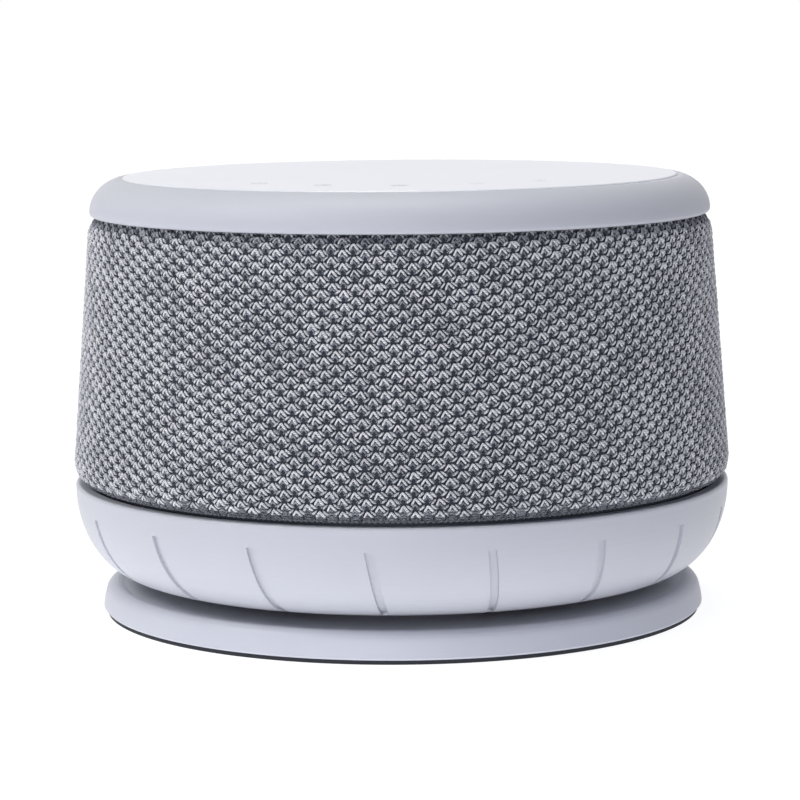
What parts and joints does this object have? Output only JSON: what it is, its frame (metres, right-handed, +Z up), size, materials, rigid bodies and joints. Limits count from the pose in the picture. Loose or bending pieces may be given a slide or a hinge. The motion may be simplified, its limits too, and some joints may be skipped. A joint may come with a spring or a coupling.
{
  "type": "white noise sound machine",
  "caption": "Low round fan-type sound machine with a tapered fabric-covered grille, a grooved tone ring that turns, a frosted light ring and a flat touch top.",
  "frame": {"origin": "centre of the rubber foot's underside, on the table", "axes": "+Z up along the fan shaft and the tone ring's axis; the front is -Y and the power inlet is at the rear, +Y"},
  "size_m": [0.15, 0.15, 0.0995],
  "materials": {
    "foot_rubber": "matt",
    "ring_abs": "fine satin moulding",
    "plate_abs": "satin",
    "black_abs": "matt",
    "frosted_diffuser": "frosted",
    "knitted_polyester": "two-tone knit",
    "screw_steel": "plated",
    "winding_copper": "enamelled",
    "ferrite": "sintered",
    "circuit_board": "solder resist",
    "lead_pvc": "satin",
    "acetal": "waxy",
    "led_resin": "clear resin"
  },
  "bodies": {
    "housing": {"rubber_foot": "foot_rubber", "base_cover": "ring_abs", "base_shell": "ring_abs", "cover_screws": "screw_steel", "hub_screws": "screw_steel", "power_inlet": "screw_steel", "inlet_board": "circuit_board", "power_leads": "lead_pvc", "glide_ring": "acetal", "chassis_tub": "black_abs", "lower_hoop": "black_abs", "grille_core": "black_abs", "fabric_sleeve": "knitted_polyester", "upper_hoop": "black_abs", "sound_drum": "plate_abs", "drum_screws": "screw_steel", "motor_isolators": "foot_rubber", "motor_bracket": "screw_steel", "bracket_screws": "screw_steel", "stator_core": "screw_steel", "stator_windings": "winding_copper", "motor_bearings": "screw_steel", "motor_leads": "lead_pvc", "main_board": "circuit_board", "board_parts": "black_abs", "board_screws": "screw_steel", "top_frame": "black_abs", "frame_screws": "screw_steel", "led_board": "circuit_board", "leds": "led_resin", "light_reflector": "plate_abs", "light_ring": "frosted_diffuser", "touch_board": "circuit_board", "touch_ribbon": "lead_pvc", "top_plate": "plate_abs"},
    "tone_ring": {"tone_ring": "ring_abs"},
    "fan": {"fan_shaft": "screw_steel", "shaft_clip": "screw_steel", "rotor_cup": "screw_steel", "rotor_magnet": "ferrite", "fan_wheel": "plate_abs"}
  },
  "joints": [
    {"name": "tone_turn", "type": "hinge", "parent": "housing", "child": "tone_ring", "pos_m": [0, 0, 0.0104], "axis": [0, 0, 1], "range_deg": [0, 30]},
    {"name": "fan_spin", "type": "hinge", "parent": "housing", "child": "fan", "pos_m": [0, 0, 0.05], "axis": [0, 0, 1], "continuous": true}
  ]
}
